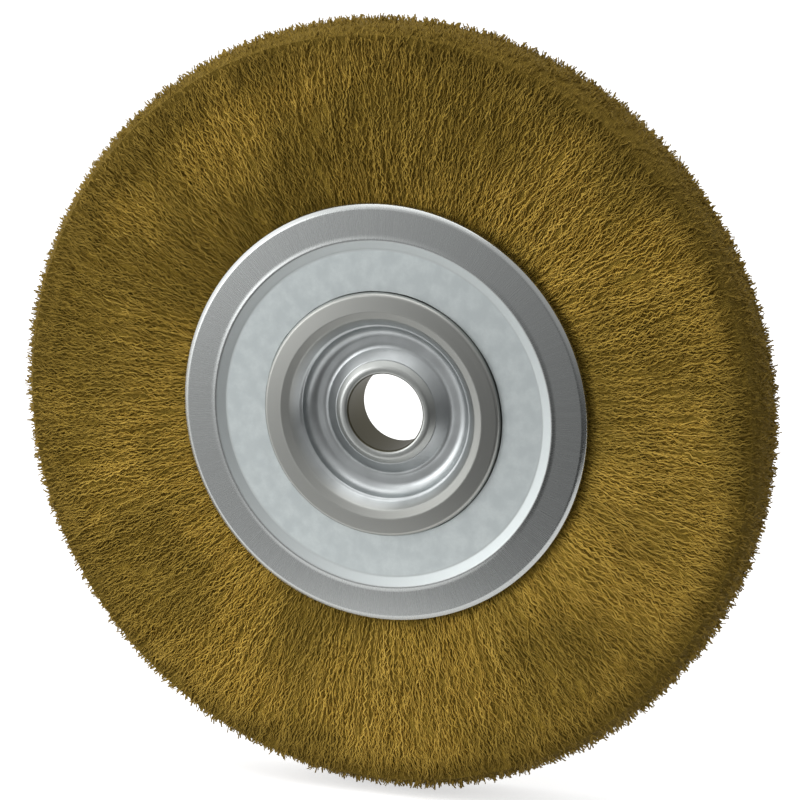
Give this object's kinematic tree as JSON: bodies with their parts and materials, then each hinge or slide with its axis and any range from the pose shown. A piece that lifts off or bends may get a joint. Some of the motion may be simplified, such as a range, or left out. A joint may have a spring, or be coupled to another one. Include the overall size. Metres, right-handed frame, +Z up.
{
  "type": "crimped-wire wheel brush",
  "caption": "Crimped-wire wheel brush for a bench grinder: pressed-steel hub with stepped recess and plain bore, ringed by brass-coloured wires folded over retaining rings.",
  "frame": {"origin": "centre of the bore on the wheel's mid-plane", "axes": "Y is the wheel's axis with the front face towards -Y, +Z up, +X to the right seen from the front"},
  "size_m": [0.2032, 0.0218, 0.2032],
  "materials": {
    "zinc_plate": "bright zinc plating on pressed sheet, satin",
    "cup_steel": "plated drawn steel, turned recess, semi-bright",
    "tube_steel": "plated steel tube, rolled ends",
    "ring_steel": "plain round steel wire",
    "brassed_wire": "fine crimped wire, brass-coloured, semi-bright"
  },
  "bodies": {
    "root": {"arbor_tube": "tube_steel", "front_side_plate": "zinc_plate", "rear_side_plate": "zinc_plate", "front_hub_cup": "cup_steel", "rear_hub_cup": "cup_steel", "front_retaining_ring": "ring_steel", "rear_retaining_ring": "ring_steel", "front_wires_01": "brassed_wire", "front_wires_02": "brassed_wire", "front_wires_03": "brassed_wire", "front_wires_04": "brassed_wire", "front_wires_05": "brassed_wire", "front_wires_06": "brassed_wire", "front_wires_07": "brassed_wire", "front_wires_08": "brassed_wire", "front_wires_09": "brassed_wire", "front_wires_10": "brassed_wire", "front_wires_11": "brassed_wire", "front_wires_12": "brassed_wire", "rear_wires_01": "brassed_wire", "rear_wires_02": "brassed_wire", "rear_wires_03": "brassed_wire", "rear_wires_04": "brassed_wire", "rear_wires_05": "brassed_wire", "rear_wires_06": "brassed_wire", "rear_wires_07": "brassed_wire", "rear_wires_08": "brassed_wire", "rear_wires_09": "brassed_wire", "rear_wires_10": "brassed_wire", "rear_wires_11": "brassed_wire", "rear_wires_12": "brassed_wire"}
  },
  "joints": []
}
